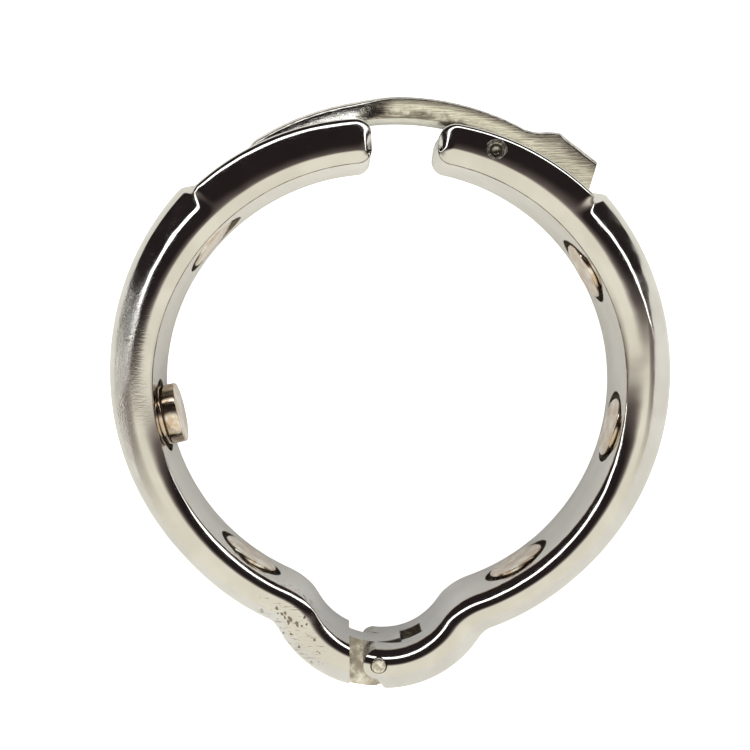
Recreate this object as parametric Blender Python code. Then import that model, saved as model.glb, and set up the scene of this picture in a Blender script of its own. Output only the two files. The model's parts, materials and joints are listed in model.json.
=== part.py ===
"""Hinged metal ring: two cast bows on a riveted hinge, a sprung ratchet latch and disc magnets.

The ring lies on one side face, so its axis is +Z. The hinge is at -Y, the latch at +Y.
The drawing frame below is in millimetres with the hinge pin at (0, 0) and the left bow upright.
Polar angles are in degrees, counterclockwise from +X. The world origin is the middle of the
whole ring's box, on the surface that it lies on.
"""

import math

import bmesh
import bpy
from mathutils import Matrix, Vector

MM = 0.001

# Ring: the outer faces of both bows are arcs about a bow centre that lies straight above the pin.
WIDTH = 7.6
OUTER_RADIUS = 18.05
PIN_TO_CENTRE = 19.2
THICKNESS_MEAN = 3.45
THICKNESS_SWING = 0.8
OPENING = 5.1
CLOSING_TRAVEL = 7.0

# Hinge loop: a small bulge below the bows, joined to them by a reversed bend.
LOOP_HEIGHT = 5.55
LOOP_INNER_RADIUS = 4.6
LOOP_OUTER_RADIUS = 7.6
KINK_RADIUS = 3.2

# Bow section, as shares of its radial thickness, and sizes along the ring's axis.
INNER_ROUND = 0.38
LAND = 0.08
INNER_ROUND_DROP = 1.2
OUTER_ROUND_DROP = 2.6
CROWN = 0.06
END_ROUND = 0.9

# Each bow's free end is lowered between a shoulder and its end, so that the latch lies in it.
LEFT_END = 91.7
RIGHT_END = 93.3
LEFT_SHOULDER = 135.8
RIGHT_SHOULDER = 132.4
SHOULDER_SPREAD = 1.8
LOWERED_AT_SHOULDER = 17.15
LOWERED_AT_END = 16.8

# Latch lever: a stamped plate whose top and underside are arcs about the lever centre.
LEVER_WIDTH = 3.0
CHANNEL_WIDTH = 3.3
LEVER_CENTRE = Vector((1.35, 19.45))
LEVER_TOP_RADIUS = 17.9
LEVER_UNDER_RADIUS = 16.2
LEVER_PIVOT = Vector((7.56, 33.47))
LEVER_LUG_RADIUS = 1.05
LUG_POCKET_RADIUS = 1.25
RIGHT_CHANNEL_RADIUS = 15.5
RIGHT_CHANNEL_END = 41.7
LEFT_CHANNEL_END = 21.5

# Ratchet: saw teeth on arcs about the hinge pin; angles here are measured from straight up.
TOOTH_PITCH = CLOSING_TRAVEL / 5
TOOTH_HEIGHT = 0.4
TOOTH_GAP = 0.1
BOW_TOOTH_RADIUS = 33.85
LEVER_TOOTH_START = 10.0
LEVER_TEETH = 3
BOW_TEETH = 8

# Hinge: a tongue on the left bow between two ears of the right bow.
TONGUE_WIDTH = 2.3
SLOT_WIDTH = 2.5
TONGUE_ROOT = 1.9
TONGUE_RADIUS = 1.95
EAR_RADIUS = 1.0
FLANK_RUN = 0.95
FLANK_FALL = 2.3
SLOT_DEPTH = 2.8

# Pins.
HINGE_PIN_RADIUS = 0.5
LATCH_PIN_RADIUS = 0.55
RUNNING_GAP = 0.05
PIN_RECESS = 0.03
PIN_CHAMFER = 0.1

# Magnets: three discs in each bow, in blind pockets of the inner face, and one stacked on another.
MAGNET_RADIUS = 2.0
MAGNET_THICKNESS = 1.0
MAGNET_PROUD = 0.25
MAGNET_CHAMFER = 0.12
POCKET_RADIUS = 2.45
POCKET_GAP = 0.04
STACK_GAP = 0.03
LEFT_MAGNETS = {"upper_left_magnet": 142.0, "middle_left_magnet": 192.0, "lower_left_magnet": 235.5}
RIGHT_MAGNETS = {"upper_right_magnet": 146.0, "middle_right_magnet": 190.0, "lower_right_magnet": 234.0}

# Return spring under the lever's thumb tab.
SPRING_ANGLE = 50.0
SPRING_START = 14.95
SPRING_END = 16.35
SPRING_RADIUS = 0.55
SPRING_WIRE_RADIUS = 0.1
SPRING_TURNS = 4
SPRING_POCKET_RADIUS = 0.8
SPRING_POCKET_FLOOR = 14.8

LEFT_CENTRE = Vector((0.0, PIN_TO_CENTRE))
LOOP_CENTRE = Vector((0.0, LOOP_HEIGHT))
RIGHT_TURN = Matrix.Rotation(math.radians(-OPENING), 2)
RIGHT_CENTRE = RIGHT_TURN @ LEFT_CENTRE
BOX_MIDDLE = Vector(
    (
        RIGHT_CENTRE.x / 2,
        (LEVER_CENTRE.y + LEVER_TOP_RADIUS + LOOP_HEIGHT - LOOP_OUTER_RADIUS) / 2,
    )
)
TO_WORLD = Matrix.Translation((-BOX_MIDDLE.x * MM, -BOX_MIDDLE.y * MM, WIDTH / 2 * MM))
MIRROR_AND_TURN = Matrix.Rotation(math.radians(-OPENING), 4, "Z") @ Matrix.Scale(-1, 4, (1, 0, 0))
FAR = 12.0


def direction(degrees):
    """Unit vector at a polar angle."""
    turn = math.radians(degrees)
    return Vector((math.cos(turn), math.sin(turn)))


def from_upright(degrees, radius):
    """Point at a radius about the hinge pin and an angle to the left of straight up."""
    return direction(90 + degrees) * radius


def spread(low, high, count):
    """Evenly spaced values with both limits."""
    return [low + (high - low) * index / (count - 1) for index in range(count)]


def arc(centre, radius, low, high, count):
    """Points along an arc."""
    return [centre + direction(angle) * radius for angle in spread(low, high, count)]


# --- materials ---


def metal(name, colour, roughness):
    """A metal material with one colour."""
    material = bpy.data.materials.new(name)
    material.use_nodes = True
    shader = material.node_tree.nodes["Principled BSDF"]
    shader.inputs["Base Color"].default_value = (*colour, 1)
    shader.inputs["Metallic"].default_value = 1.0
    shader.inputs["Roughness"].default_value = roughness
    return material


# --- mesh helpers ---


def finish_object(name, work, material=None, smooth=True):
    """Turn a bmesh that is in metres of the drawing frame into an object in the world."""
    bmesh.ops.recalc_face_normals(work, faces=work.faces)
    mesh = bpy.data.meshes.new(name)
    work.to_mesh(mesh)
    work.free()
    mesh.transform(TO_WORLD)
    if material:
        mesh.materials.append(material)
    if smooth:
        mesh.shade_smooth()
        mesh.set_sharp_from_angle(angle=math.radians(30))
    thing = bpy.data.objects.new(name, mesh)
    bpy.context.collection.objects.link(thing)
    return thing


def ring_of_points(work, points):
    """Vertices for points in millimetres."""
    return [work.verts.new(Vector(point) * MM) for point in points]


def join_rings(work, rings):
    """Faces between each ring of vertices and the next, and a cap at both ends."""
    for ring, following in zip(rings, rings[1:]):
        for index in range(len(ring)):
            after = (index + 1) % len(ring)
            work.faces.new((ring[index], ring[after], following[after], following[index]))
    work.faces.new(rings[0])
    work.faces.new(rings[-1])


def prism(outline, low, high):
    """A bmesh of a flat outline between two heights."""
    work = bmesh.new()
    rings = [ring_of_points(work, [(p.x, p.y, z) for p in outline]) for z in (low, high)]
    join_rings(work, rings)
    return work


def round_bar(start, end, radius, sides=32):
    """A bmesh of a cylinder between two points in millimetres."""
    start, end = Vector(start), Vector(end)
    along = (end - start).normalized()
    side = along.orthogonal().normalized()
    other = along.cross(side)
    work = bmesh.new()
    rings = []
    for point in (start, end):
        turns = [2 * math.pi * index / sides for index in range(sides)]
        rings.append(
            ring_of_points(work, [point + (side * math.cos(t) + other * math.sin(t)) * radius for t in turns])
        )
    join_rings(work, rings)
    return work


def cut(target, name, work):
    """Subtract a bmesh from an object with a Boolean modifier."""
    cutter = finish_object(name, work, smooth=False)
    cutter.hide_render = True
    cutter.display_type = "WIRE"
    modifier = target.modifiers.new(name, "BOOLEAN")
    modifier.operation = "DIFFERENCE"
    modifier.solver = "EXACT"
    modifier.object = cutter


def right_hand(work):
    """Carry a shape drawn for the left side over to the right side of the opened ring."""
    bmesh.ops.transform(work, matrix=MIRROR_AND_TURN, verts=work.verts)
    return work


# --- bows ---


def full_thickness(angle):
    """Radial thickness of the bow before its free end is lowered."""
    return THICKNESS_MEAN + THICKNESS_SWING * math.sin(math.radians(angle))


def top_radius(angle, end, shoulder):
    """Radius of the outer face, which steps down at the shoulder and then falls to the end."""
    share = min(1.0, (angle - end) / (shoulder - end))
    lowered = LOWERED_AT_END + (LOWERED_AT_SHOULDER - LOWERED_AT_END) * share
    blend = min(1.0, max(0.0, (angle - shoulder) / (2 * SHOULDER_SPREAD) + 0.5))
    smooth = blend * blend * (3 - 2 * blend)
    return lowered + (OUTER_RADIUS - lowered) * smooth


def bow_section(thickness, inset):
    """Half of the rounded section as (outward, height) pairs, from the inner wall to the outer one."""
    inner, outer = inset, thickness - inset
    height = WIDTH / 2 - inset / 2
    depth = outer - inner
    land_start = inner + INNER_ROUND * depth
    land_end = land_start + LAND * depth
    points = []
    for turn in spread(0, math.pi / 2, 5):
        outward = land_start - (land_start - inner) * math.cos(turn)
        points.append((outward, height - INNER_ROUND_DROP * (1 - math.sin(turn))))
    for turn in spread(math.pi / 2, 0, 6):
        outward = land_end + (outer - CROWN - land_end) * math.cos(turn)
        points.append((outward, height - OUTER_ROUND_DROP * (1 - math.sin(turn))))
    return points


def section_ring(work, inner_point, outward, thickness, inset=0.0):
    """Vertices of one section of the bow, all the way round."""
    half = bow_section(thickness, inset)
    crown = [(thickness - inset, 0.0)]
    whole = half + crown + [(n, -z) for n, z in reversed(half)]
    places = [inner_point + outward * n for n, z in whole]
    return ring_of_points(work, [(p.x, p.y, z) for p, (n, z) in zip(places, whole)])


def kink():
    """Centre of the reversed bend, and the polar angles at which it leaves the bow and meets the loop."""
    bow_middle = OUTER_RADIUS - full_thickness(246) / 2
    loop_middle = (LOOP_INNER_RADIUS + LOOP_OUTER_RADIUS) / 2
    from_bow, from_loop = bow_middle + KINK_RADIUS, loop_middle + KINK_RADIUS
    between = PIN_TO_CENTRE - LOOP_HEIGHT
    below = (from_bow**2 - from_loop**2 + between**2) / (2 * between)
    beside = math.sqrt(from_bow**2 - below**2)
    centre = LEFT_CENTRE + Vector((-beside, -below))
    at_bow = centre - LEFT_CENTRE
    at_loop = centre - LOOP_CENTRE
    bow_angle = math.degrees(math.atan2(at_bow.y, at_bow.x)) % 360
    loop_angle = math.degrees(math.atan2(at_loop.y, at_loop.x)) % 360
    return centre, bow_angle, loop_angle


def bow_body(end, shoulder, past_pin):
    """The swept bow, drawn on the left: free end, main arc, reversed bend and half of the hinge loop."""
    work = bmesh.new()
    centre, bow_angle, loop_angle = kink()
    rings = []
    middle_radius = OUTER_RADIUS - THICKNESS_MEAN / 2
    round_turn = math.degrees(END_ROUND / middle_radius)

    def main_ring(angle, inset):
        inner_radius = OUTER_RADIUS - full_thickness(angle)
        thickness = top_radius(angle, end, shoulder) - inner_radius
        inner_point = LEFT_CENTRE + direction(angle) * inner_radius
        rings.append(section_ring(work, inner_point, direction(angle), thickness, inset))

    for turn in spread(0, math.pi / 2, 5):
        main_ring(end + round_turn * (1 - math.cos(turn)), END_ROUND * (1 - math.sin(turn)))
    for angle in spread(end + round_turn, shoulder - SHOULDER_SPREAD, 11)[1:]:
        main_ring(angle, 0)
    for angle in spread(shoulder - SHOULDER_SPREAD, shoulder + SHOULDER_SPREAD, 4)[1:]:
        main_ring(angle, 0)
    for angle in spread(shoulder + SHOULDER_SPREAD, bow_angle, 28)[1:]:
        main_ring(angle, 0)
    bow_thickness = full_thickness(bow_angle)
    loop_thickness = LOOP_OUTER_RADIUS - LOOP_INNER_RADIUS
    bend = spread(bow_angle - 180, loop_angle - 180, 7)[1:-1]
    for step, angle in enumerate(bend, start=1):
        thickness = bow_thickness + (loop_thickness - bow_thickness) * step / (len(bend) + 1)
        inner_point = centre + direction(angle) * (KINK_RADIUS + thickness / 2)
        rings.append(section_ring(work, inner_point, -direction(angle), thickness))
    last_angle = 270 + math.degrees(math.asin(past_pin / LOOP_INNER_RADIUS))
    for angle in spread(loop_angle, last_angle, 13):
        inner_point = LOOP_CENTRE + direction(angle) * LOOP_INNER_RADIUS
        rings.append(section_ring(work, inner_point, direction(angle), loop_thickness))
    join_rings(work, rings)
    return work


def knuckle_cutter(radius, flank=()):
    """Everything to the right of the pin and outside a circle about it, drawn on the left.

    A flank is a point below the circle where a sloping edge reaches the underside of the loop.
    """
    half_circle = arc(Vector((0, 0)), radius, 90, -90, 17)
    below = Vector((flank[0].x if flank else 0, -FAR))
    corners = [below, Vector((FAR, -FAR)), Vector((FAR, FAR)), Vector((0, FAR))]
    return prism(half_circle + list(flank) + corners, -FAR, FAR)


def box_cutter(low, high):
    """An upright box between two corners."""
    outline = [Vector((low[0], low[1])), Vector((high[0], low[1]))]
    outline += [Vector((high[0], high[1])), Vector((low[0], high[1]))]
    return prism(outline, low[2], high[2])


def pocket_cutter(centre_angle):
    """A blind round pocket in the inner wall, drawn on the left."""
    outward = direction(centre_angle)
    wall = OUTER_RADIUS - full_thickness(centre_angle)
    floor = wall + MAGNET_THICKNESS - MAGNET_PROUD + POCKET_GAP
    start, end = LEFT_CENTRE + outward * (wall - 2), LEFT_CENTRE + outward * floor
    return round_bar((start.x, start.y, 0), (end.x, end.y, 0), POCKET_RADIUS)


def left_channel_cutter():
    """The latch's channel in the left bow: its floor is a ratchet on an arc about the hinge pin."""
    root = BOW_TOOTH_RADIUS - TOOTH_HEIGHT
    floor = [from_upright(-1.0, root), from_upright(LEVER_TOOTH_START - TOOTH_PITCH, root)]
    for tooth in range(BOW_TEETH):
        steep = LEVER_TOOTH_START - TOOTH_PITCH / 14 + tooth * TOOTH_PITCH
        floor.append(from_upright(steep, BOW_TOOTH_RADIUS))
        floor.append(from_upright(steep, root))
    floor.append(from_upright(LEFT_CHANNEL_END, root))
    roof = [from_upright(LEFT_CHANNEL_END, root + FAR), from_upright(-1.0, root + FAR)]
    return prism(floor + roof, -CHANNEL_WIDTH / 2, CHANNEL_WIDTH / 2)


def right_channel_cutter():
    """The latch's channel in the right bow, open at the free end."""
    floor = arc(RIGHT_CENTRE, RIGHT_CHANNEL_RADIUS, 95, RIGHT_CHANNEL_END, 14)
    roof = arc(RIGHT_CENTRE, RIGHT_CHANNEL_RADIUS + FAR, RIGHT_CHANNEL_END, 95, 2)
    return prism(floor + roof, -CHANNEL_WIDTH / 2, CHANNEL_WIDTH / 2)


def upright_bar(place, radius, height=FAR):
    """A cylinder along the ring's axis."""
    return round_bar((place.x, place.y, -height / 2), (place.x, place.y, height / 2), radius)


def make_left_bow(material):
    bow = finish_object("left_bow", bow_body(LEFT_END, LEFT_SHOULDER, TONGUE_RADIUS + 0.2), material)
    cut(bow, "cut_left_channel", left_channel_cutter())
    cut(bow, "cut_tongue_end", knuckle_cutter(TONGUE_RADIUS))
    low, high = (-TONGUE_ROOT, -FAR, TONGUE_WIDTH / 2), (FAR, FAR / 2, FAR)
    cut(bow, "cut_tongue_front", box_cutter(low, high))
    low, high = (-TONGUE_ROOT, -FAR, -FAR), (FAR, FAR / 2, -TONGUE_WIDTH / 2)
    cut(bow, "cut_tongue_back", box_cutter(low, high))
    cut(bow, "cut_left_pin_hole", upright_bar(Vector((0, 0)), HINGE_PIN_RADIUS + RUNNING_GAP))
    for name, angle in LEFT_MAGNETS.items():
        cut(bow, "cut_" + name, pocket_cutter(angle))


def make_right_bow(material):
    work = right_hand(bow_body(RIGHT_END, RIGHT_SHOULDER, EAR_RADIUS + 0.2))
    bow = finish_object("right_bow", work, material)
    cut(bow, "cut_right_channel", right_channel_cutter())
    cut(bow, "cut_lug_pocket", upright_bar(LEVER_PIVOT, LUG_POCKET_RADIUS, CHANNEL_WIDTH - 0.02))
    cut(bow, "cut_latch_pin_hole", upright_bar(LEVER_PIVOT, LATCH_PIN_RADIUS + RUNNING_GAP))
    flank = [Vector((-FLANK_RUN, -FLANK_FALL))]
    cut(bow, "cut_ear_ends", right_hand(knuckle_cutter(EAR_RADIUS, flank)))
    low, high = (-SLOT_DEPTH, -FAR, -SLOT_WIDTH / 2), (FAR, FAR / 2, SLOT_WIDTH / 2)
    cut(bow, "cut_slot", right_hand(box_cutter(low, high)))
    cut(bow, "cut_right_pin_hole", upright_bar(Vector((0, 0)), HINGE_PIN_RADIUS + RUNNING_GAP))
    for name, angle in RIGHT_MAGNETS.items():
        cut(bow, "cut_" + name, right_hand(pocket_cutter(angle)))
    outward = direction(SPRING_ANGLE)
    start = RIGHT_CENTRE + outward * SPRING_POCKET_FLOOR
    end = RIGHT_CENTRE + outward * (RIGHT_CHANNEL_RADIUS + 1)
    pocket = round_bar((start.x, start.y, 0), (end.x, end.y, 0), SPRING_POCKET_RADIUS, 24)
    cut(bow, "cut_spring_pocket", pocket)


# --- latch ---


def lever_outline():
    """The lever's outline, from the tip over its top to the tail, and back along its underside."""
    tip_top = 122.2
    tip_radius = LEVER_TOP_RADIUS - 0.22
    outline = [LEVER_CENTRE + direction(124.6) * tip_radius]
    outline += arc(LEVER_CENTRE, LEVER_TOP_RADIUS, tip_top, 64.3, 22)
    outline += [Vector((9.75, 35.17)), Vector((10.5, 35.0)), Vector((11.4, 34.98)), Vector((12.35, 34.86))]
    outline += [Vector((13.1, 34.45)), Vector((13.85, 33.85)), Vector((14.53, 33.19))]
    outline += [Vector((13.85, 30.65))]
    outline += arc(RIGHT_CENTRE, 16.45, 46.5, 62.5, 5)
    outline += arc(LEVER_PIVOT, LEVER_LUG_RADIUS, 10, -190, 15)
    outline += arc(LEVER_CENTRE, LEVER_UNDER_RADIUS, 74.5, 115.2, 15)
    root = BOW_TOOTH_RADIUS + TOOTH_GAP + TOOTH_HEIGHT
    for tooth in range(LEVER_TEETH):
        steep = LEVER_TOOTH_START + tooth * TOOTH_PITCH
        outline.append(from_upright(steep, root))
        outline.append(from_upright(steep, root - TOOTH_HEIGHT))
    outline.append(from_upright(LEVER_TOOTH_START + LEVER_TEETH * TOOTH_PITCH, root))
    return outline


def make_latch_lever(material):
    lever = finish_object("latch_lever", prism(lever_outline(), -LEVER_WIDTH / 2, LEVER_WIDTH / 2), material)
    cut(lever, "cut_lever_hole", upright_bar(LEVER_PIVOT, LATCH_PIN_RADIUS + RUNNING_GAP))


def make_pin(name, place, radius, material):
    """A pin along the ring's axis whose two ends lie just under the side faces."""
    half = WIDTH / 2 - PIN_RECESS
    inner = half - PIN_CHAMFER
    narrow = radius - PIN_CHAMFER
    work = bmesh.new()
    rings = []
    for height, size in ((-half, narrow), (-inner, radius), (inner, radius), (half, narrow)):
        rings.append(ring_of_points(work, [(p.x, p.y, height) for p in arc(place, size, 0, 348.75, 32)]))
    join_rings(work, rings)
    finish_object(name, work, material)


def make_spring(material):
    """A small compression spring between the right bow's pocket and the tab."""
    outward = direction(SPRING_ANGLE)
    along = Vector((outward.x, outward.y, 0))
    side = Vector((-outward.y, outward.x, 0))
    up = Vector((0, 0, 1))
    base = Vector((RIGHT_CENTRE.x, RIGHT_CENTRE.y, 0))
    low = SPRING_START + SPRING_WIRE_RADIUS
    high = SPRING_END - SPRING_WIRE_RADIUS
    curve = bpy.data.curves.new("latch_spring", "CURVE")
    curve.dimensions = "3D"
    curve.bevel_depth = SPRING_WIRE_RADIUS * MM
    curve.bevel_resolution = 1
    curve.use_fill_caps = True
    curve.materials.append(material)
    count = SPRING_TURNS * 12 + 1
    line = curve.splines.new("POLY")
    line.points.add(count - 1)
    for index, point in enumerate(line.points):
        turn = 2 * math.pi * index / 12
        place = base + along * (low + (high - low) * index / (count - 1))
        place += (side * math.cos(turn) + up * math.sin(turn)) * (SPRING_RADIUS - SPRING_WIRE_RADIUS)
        point.co = (*(TO_WORLD @ (place * MM)), 1)
    bpy.context.collection.objects.link(bpy.data.objects.new("latch_spring", curve))


# --- magnets ---


def magnet(name, angle, near, material, mirrored):
    """A chamfered disc whose near face is at a radius about the bow centre, drawn on the left."""
    outward = direction(angle)
    side = Vector((-outward.y, outward.x, 0))
    far = near + MAGNET_THICKNESS
    narrow = MAGNET_RADIUS - MAGNET_CHAMFER
    stages = (
        (near, narrow),
        (near + MAGNET_CHAMFER, MAGNET_RADIUS),
        (far - MAGNET_CHAMFER, MAGNET_RADIUS),
        (far, narrow),
    )
    turns = [2 * math.pi * index / 32 for index in range(32)]
    work = bmesh.new()
    rings = []
    for radius, size in stages:
        middle = (LEFT_CENTRE + outward * radius).to_3d()
        around = [side * math.cos(turn) + Vector((0, 0, math.sin(turn))) for turn in turns]
        rings.append(ring_of_points(work, [middle + step * size for step in around]))
    join_rings(work, rings)
    if mirrored:
        right_hand(work)
    finish_object(name, work, material)


def make_magnets(material):
    for names, mirrored in ((LEFT_MAGNETS, False), (RIGHT_MAGNETS, True)):
        for name, angle in names.items():
            wall = OUTER_RADIUS - full_thickness(angle)
            magnet(name, angle, wall - MAGNET_PROUD, material, mirrored)
    angle = LEFT_MAGNETS["middle_left_magnet"]
    wall = OUTER_RADIUS - full_thickness(angle)
    magnet("stacked_magnet", angle, wall - MAGNET_PROUD - STACK_GAP - MAGNET_THICKNESS, material, False)


def main():
    for thing in list(bpy.data.objects):
        bpy.data.objects.remove(thing)
    cast = metal("cast_nickel", (0.72, 0.70, 0.64), 0.12)
    stamped = metal("brushed_steel", (0.66, 0.64, 0.58), 0.32)
    rivet = metal("rivet_steel", (0.6, 0.58, 0.54), 0.25)
    plated = metal("magnet_nickel", (0.72, 0.66, 0.58), 0.1)
    sprung = metal("spring_steel", (0.5, 0.5, 0.5), 0.3)
    make_left_bow(cast)
    make_right_bow(cast)
    make_latch_lever(stamped)
    make_pin("hinge_pin", Vector((0, 0)), HINGE_PIN_RADIUS, rivet)
    make_pin("latch_pin", LEVER_PIVOT, LATCH_PIN_RADIUS, rivet)
    make_spring(sprung)
    make_magnets(plated)


main()
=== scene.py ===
"""Looks of the hinged metal ring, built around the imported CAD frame.

Shapes are worked out in a drawing frame in millimetres: the hinge pin is at (0, 0), the left bow
is upright and polar angles are in degrees, counterclockwise from +X. The record's hinge joint
says where that frame lies in the world.
"""

import json
import math

import bmesh
import bpy
from mathutils import Matrix, Vector
from mathutils.bvhtree import BVHTree


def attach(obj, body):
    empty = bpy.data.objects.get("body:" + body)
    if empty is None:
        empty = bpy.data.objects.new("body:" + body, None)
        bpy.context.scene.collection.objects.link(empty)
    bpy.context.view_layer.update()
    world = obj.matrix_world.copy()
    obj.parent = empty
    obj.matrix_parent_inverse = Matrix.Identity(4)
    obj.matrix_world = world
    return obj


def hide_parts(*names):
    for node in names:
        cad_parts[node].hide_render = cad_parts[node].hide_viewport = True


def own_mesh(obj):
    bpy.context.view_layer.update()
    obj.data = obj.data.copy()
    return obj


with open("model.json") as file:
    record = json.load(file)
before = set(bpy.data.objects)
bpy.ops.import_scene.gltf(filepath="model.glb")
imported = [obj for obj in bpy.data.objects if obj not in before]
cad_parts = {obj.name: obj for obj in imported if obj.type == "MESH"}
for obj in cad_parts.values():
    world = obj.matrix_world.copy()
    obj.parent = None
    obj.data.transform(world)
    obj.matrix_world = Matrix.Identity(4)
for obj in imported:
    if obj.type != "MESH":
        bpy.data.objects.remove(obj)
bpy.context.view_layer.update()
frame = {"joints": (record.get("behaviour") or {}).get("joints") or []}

MM = 0.001

# Ring, as in the CAD part: both outer faces are arcs about a bow centre straight above the pin.
WIDTH = 7.6
OUTER_RADIUS = 18.05
PIN_TO_CENTRE = 19.2
THICKNESS_MEAN = 3.45
THICKNESS_SWING = 0.8
OPENING = 5.1
CLOSING_TRAVEL = 7.0

# Hinge loop and the reversed bend above it.
LOOP_HEIGHT = 5.55
LOOP_INNER_RADIUS = 4.6
LOOP_OUTER_RADIUS = 7.6
KINK_RADIUS = 3.2

# Bow section: the ridge is the highest line of the face, this far out from the inner wall's crease.
LEFT_RIDGE = 0.8
RIGHT_RIDGE = 1.0
BEVEL_SLOPE = 1.6
BEVEL_ROUND = 1.08
BEVEL_STEPS = 16

# Outer part of the face: its rounding grows towards the shoulder; then a rim turns down to the wall.
FACE_SLOPE = 0.9
LEFT_FACE_ROUND = (0.55, 1.5)
RIGHT_FACE_ROUND = (0.42, 1.15)
FACE_ROUND_SPAN = (180.0, 135.0)
FACE_STEPS = 16
RIM_SHARE = 0.2
RIM_FALL = 1.5
RIM_STEPS = 12
LOWERED_FACE_RADIUS = 5.2
LOWERED_RIM_SHARE = 0.3
LOWERED_RIM_FALL = 0.22

# Crease between the inner wall and the face, and the two plain bands of the wall beside it.
CREASE_ROUND = 0.055
CREASE_SLOT = 2
CREASE_STEPS = 5
CREASE_START = 2
WALL_SHARE = 0.55
WALL_STEP = 2.2
OUTER_WALL_STEP = 0.08

# How far the seen bows depart from the CAD: drawn in outside, and swollen inwards to the free end.
LEFT_TUCK = 0.27
RIGHT_TUCK = 0.15
TUCK_SPREAD = 25.0
LEFT_SWELL = 0.3
RIGHT_SWELL = 0.0
SWELL_SPAN = (190.0, 110.0)

# Rounded free ends, in millimetres from the end.
END_CORNER = 1.1
END_CORNER_SHARE = 0.82
END_DOME = 1.1
END_WALL_ALLOWANCE = 0.5

# Sections along each stretch of a bow.
END_SECTIONS = 15
LOWERED_SECTIONS = 46
SHOULDER_SECTIONS = 10
ARC_SECTIONS = 112
BEND_SECTIONS = 25
LOOP_SECTIONS = 49

# Lowered free ends.
LEFT_END = 91.7
RIGHT_END = 93.3
LEFT_SHOULDER = 135.8
RIGHT_SHOULDER = 132.4
SHOULDER_SPREAD = 1.8
LOWERED_AT_SHOULDER = 16.9
LOWERED_AT_END = 16.4

# Latch lever.
LEVER_WIDTH = 3.0
CHANNEL_WIDTH = 3.3
LEVER_CENTRE = Vector((1.35, 19.45))
LEVER_TOP_RADIUS = 17.82
LEVER_UNDER_RADIUS = 16.42
LEVER_PIVOT = Vector((7.56, 33.47))
LEVER_LUG_RADIUS = 1.05
LUG_POCKET_RADIUS = 1.25
LEVER_TIP = 124.6
LEVER_TIP_TOP = 122.2
LEVER_ARC_END = 64.3
LEVER_TIP_FALL = 0.22
LEVER_WORN_SPAN = (-1.6, 1.4)
LEVER_LEANS = (-0.17, 0.5)
LEVER_ROUNDS_UP = (0.2, 0.42)
LEVER_ROUNDS_ACROSS = (0.24, 0.62)
LEVER_FLAT_POINTS = 6
TAB_CORNER = Vector((12.15, 34.93))
TAB_TIP = Vector((14.58, 33.12))
TAB_ROLL_SPREAD = 0.3
RIGHT_CHANNEL_RADIUS = 15.5
RIGHT_CHANNEL_END = 41.7
LEFT_CHANNEL_END = 21.5

# Ratchet teeth on arcs about the hinge pin, angles from straight up.
TOOTH_PITCH = CLOSING_TRAVEL / 5
TOOTH_HEIGHT = 0.4
TOOTH_GAP = 0.1
BOW_TOOTH_RADIUS = 33.85
LEVER_TOOTH_START = 10.0
LEVER_TEETH = 3
BOW_TEETH = 8
TOOTH_ROOT = BOW_TOOTH_RADIUS + TOOTH_GAP + TOOTH_HEIGHT

# Hinge.
TONGUE_WIDTH = 2.3
SLOT_WIDTH = 2.5
TONGUE_ROOT = 1.9
TONGUE_RADIUS = 1.95
EAR_RADIUS = 1.0
FLANK_RUN = 0.95
FLANK_FALL = 2.3
SLOT_DEPTH = 2.8

# Pins.
HINGE_PIN_RADIUS = 0.5
LATCH_PIN_RADIUS = 0.55
RUNNING_GAP = 0.05

# Magnets.
MAGNET_RADIUS = 2.0
MAGNET_THICKNESS = 1.0
MAGNET_PROUD = 0.25
MAGNET_CHAMFER = 0.12
POCKET_RADIUS = 2.45
POCKET_GAP = 0.04
STACK_GAP = 0.03
LEFT_MAGNETS = {"upper_left_magnet": 142.0, "middle_left_magnet": 192.0, "lower_left_magnet": 235.5}
RIGHT_MAGNETS = {"upper_right_magnet": 146.0, "middle_right_magnet": 190.0, "lower_right_magnet": 234.0}

# Return spring.
SPRING_ANGLE = 50.0
SPRING_START = 14.95
SPRING_END = 16.35
SPRING_RADIUS = 0.55
SPRING_WIRE_RADIUS = 0.1
SPRING_TURNS = 4
SPRING_POCKET_RADIUS = 0.8
SPRING_POCKET_FLOOR = 14.8

# Marks in the nickel, placed in millimetres from the left bow's centre.
HATCH_PLACE = (-17.2, 1.0)
HATCH_SIZE = (2.6, 6.5)
PIT_PLACE = (-5.4, -16.6)
PIT_SIZE = (2.4, 2.9)
PIT_HEIGHTS = (1.2, 2.4)

# Metal tones, each from its darkest to its lightest.
NICKEL_TONES = ((0.545, 0.535, 0.51, 1), (0.6, 0.595, 0.575, 1))
SCAR_TONE = (0.2, 0.17, 0.14, 1)
# Painted shade: dark tones for the line along the crease between the inner wall and the face.
CREASE_SHADE_TONES = ((0.11, 0.075, 0.05, 1), (0.34, 0.28, 0.22, 1))
CUT_TONES = ((0.3, 0.27, 0.23, 1), (0.66, 0.64, 0.59, 1))
BRUSHED_TONES = ((0.6, 0.58, 0.5, 1), (0.9, 0.9, 0.8, 1))
WORN_TONE = (0.74, 0.73, 0.7, 1)
# Painted shade low on the latch's sides, where it sits in the channel.
CHANNEL_SHADE_TONE = (0.16, 0.14, 0.12, 1)
ROLLED_TONES = ((0.5, 0.48, 0.45, 1), (0.74, 0.73, 0.7, 1))
RIVET_TINT = (1.0, 0.92, 0.8)
RIVET_LIGHT_TINT = (1.0, 0.97, 0.89)
HINGE_RIVET_VALUES = (0.36, 0.7)
# The latch pin's very dark values paint the shade of its hollow head.
LATCH_RIVET_SHADE_VALUES = (0.09, 0.34)
MAGNET_TONES = ((0.52, 0.41, 0.31, 1), (0.78, 0.75, 0.69, 1))
SPRING_TONES = ((0.42, 0.4, 0.38, 1), (0.6, 0.59, 0.57, 1))

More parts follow.
